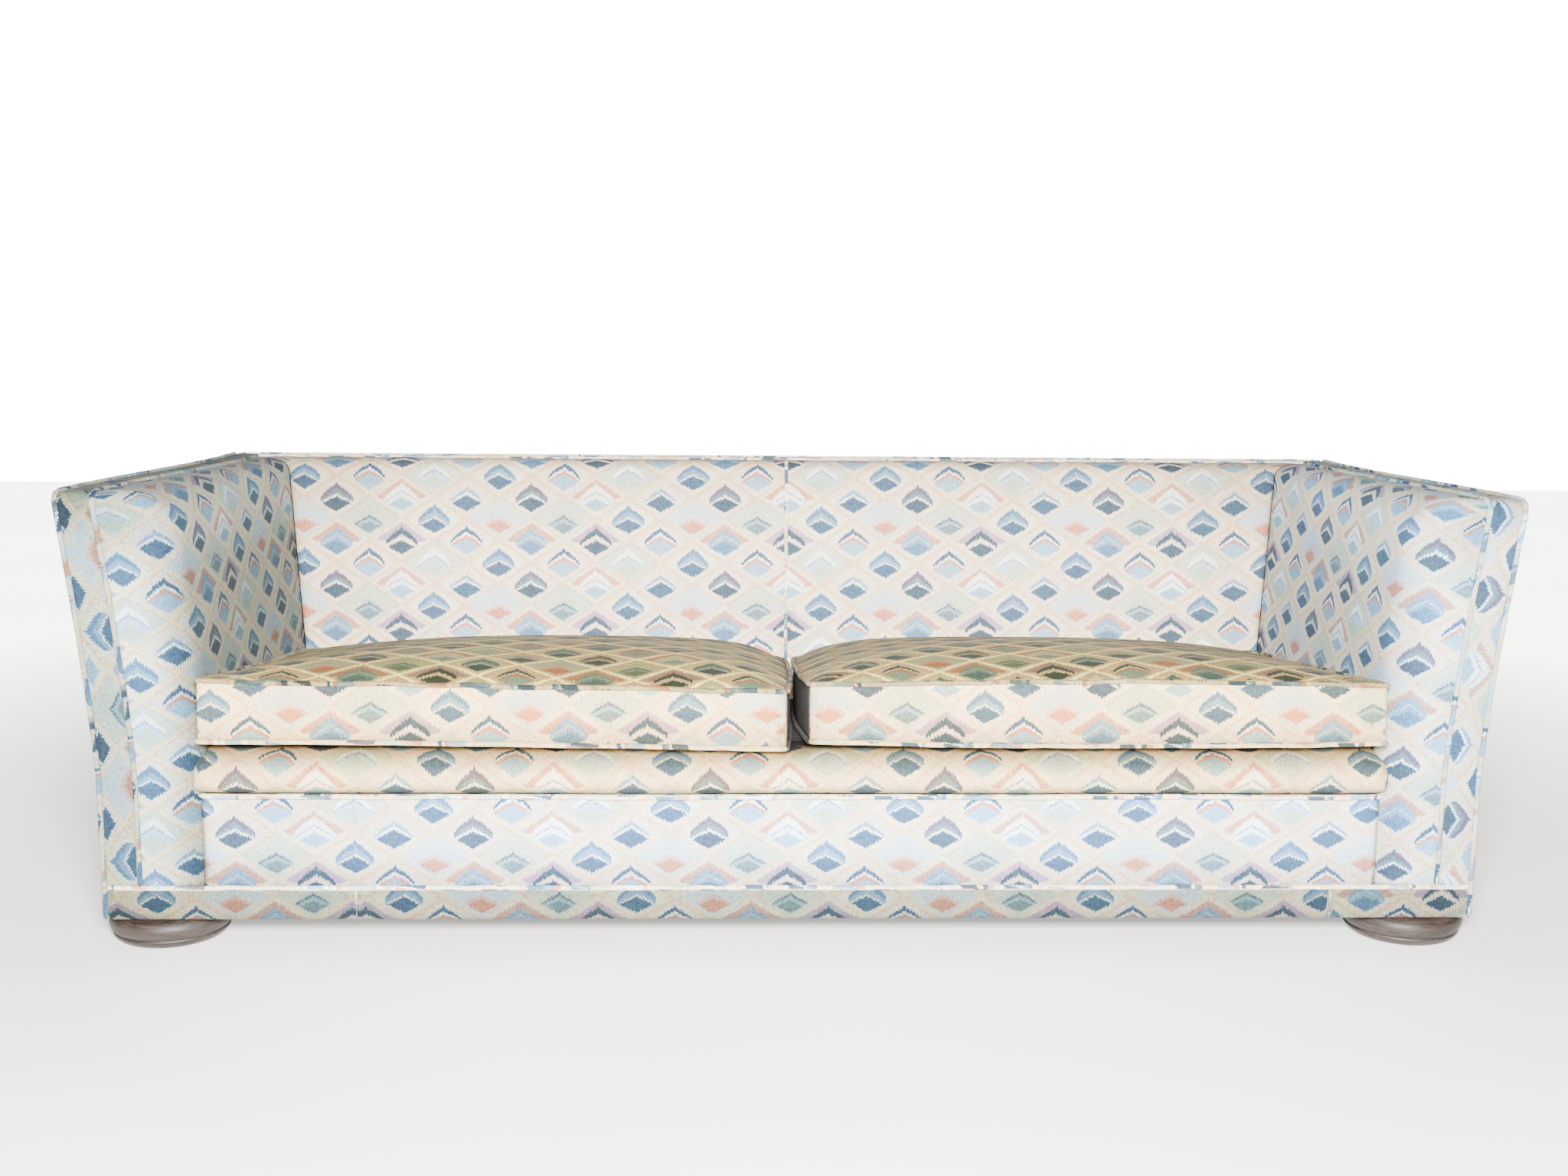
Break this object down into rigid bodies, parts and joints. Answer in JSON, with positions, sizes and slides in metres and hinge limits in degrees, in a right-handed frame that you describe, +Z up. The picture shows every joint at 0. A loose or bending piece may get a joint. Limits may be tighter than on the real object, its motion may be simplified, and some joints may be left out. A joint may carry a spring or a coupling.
{
  "type": "sofa",
  "caption": "Upholstered two-seat sofa with flared arms, loose box cushions with zip covers, a padded front roll and turned bun feet.",
  "frame": {"origin": "on the floor, under the middle of the sofa's overall width and depth", "axes": "+X to the right of someone facing the sofa's front, along its width; +Y from the front to the back; +Z up; the seat faces -Y"},
  "size_m": [2.1458, 0.7479, 0.69],
  "materials": {
    "patterned_fabric": "matte",
    "seat_lining": "matte",
    "zip_tape": "matte",
    "black_cloth": "matte",
    "hardwood": "matte",
    "limed_oak": "satin",
    "jute_webbing": "matte",
    "cushion_foam": "matte",
    "bolt_steel": "satin",
    "zip_brass": "satin"
  },
  "bodies": {
    "frame": {"front_base_band": "patterned_fabric", "rear_base_band": "patterned_fabric", "left_base_band": "patterned_fabric", "right_base_band": "patterned_fabric", "front_panel": "patterned_fabric", "front_roll": "patterned_fabric", "outside_back": "patterned_fabric", "back_band": "patterned_fabric", "left_inside_arm": "patterned_fabric", "left_arm_band": "patterned_fabric", "left_outside_arm": "patterned_fabric", "left_inside_back": "patterned_fabric", "right_inside_arm": "patterned_fabric", "right_arm_band": "patterned_fabric", "right_outside_arm": "patterned_fabric", "right_inside_back": "patterned_fabric", "seat_deck": "seat_lining", "dust_cover": "black_cloth", "front_rail": "hardwood", "rear_rail": "hardwood", "centre_stretcher": "hardwood", "seat_back_rail": "hardwood", "back_centre_post": "hardwood", "back_top_rail": "hardwood", "left_side_rail": "hardwood", "left_rear_post": "hardwood", "left_arm_facing": "hardwood", "left_arm_top_rail": "hardwood", "left_front_corner_block": "hardwood", "left_rear_corner_block": "hardwood", "right_side_rail": "hardwood", "right_rear_post": "hardwood", "right_arm_facing": "hardwood", "right_arm_top_rail": "hardwood", "right_front_corner_block": "hardwood", "right_rear_corner_block": "hardwood", "left_front_foot": "limed_oak", "left_rear_foot": "limed_oak", "right_front_foot": "limed_oak", "right_rear_foot": "limed_oak", "seat_strap_1": "jute_webbing", "seat_strap_2": "jute_webbing", "seat_strap_3": "jute_webbing", "seat_strap_4": "jute_webbing", "seat_strap_5": "jute_webbing", "seat_strap_6": "jute_webbing", "left_front_foot_bolt": "bolt_steel", "left_rear_foot_bolt": "bolt_steel", "right_front_foot_bolt": "bolt_steel", "right_rear_foot_bolt": "bolt_steel"},
    "left_cushion": {"left_cushion_cover": "patterned_fabric", "left_cushion_core": "cushion_foam", "left_zip": "zip_tape"},
    "left_zip_slider": {"left_zip_slider": "zip_brass"},
    "right_cushion": {"right_cushion_cover": "patterned_fabric", "right_cushion_core": "cushion_foam", "right_zip": "zip_tape"},
    "right_zip_slider": {"right_zip_slider": "zip_brass"}
  },
  "joints": [
    {"name": "left_cushion_lift", "type": "slide", "parent": "frame", "child": "left_cushion", "axis": [0, 0, 1], "range_m": [0, 0.4]},
    {"name": "left_zip_slide", "type": "slide", "parent": "left_cushion", "child": "left_zip_slider", "axis": [1, 0, 0], "range_m": [0, 0.568]},
    {"name": "right_cushion_lift", "type": "slide", "parent": "frame", "child": "right_cushion", "axis": [0, 0, 1], "range_m": [0, 0.4]},
    {"name": "right_zip_slide", "type": "slide", "parent": "right_cushion", "child": "right_zip_slider", "axis": [-1, 0, 0], "range_m": [0, 0.568]}
  ]
}
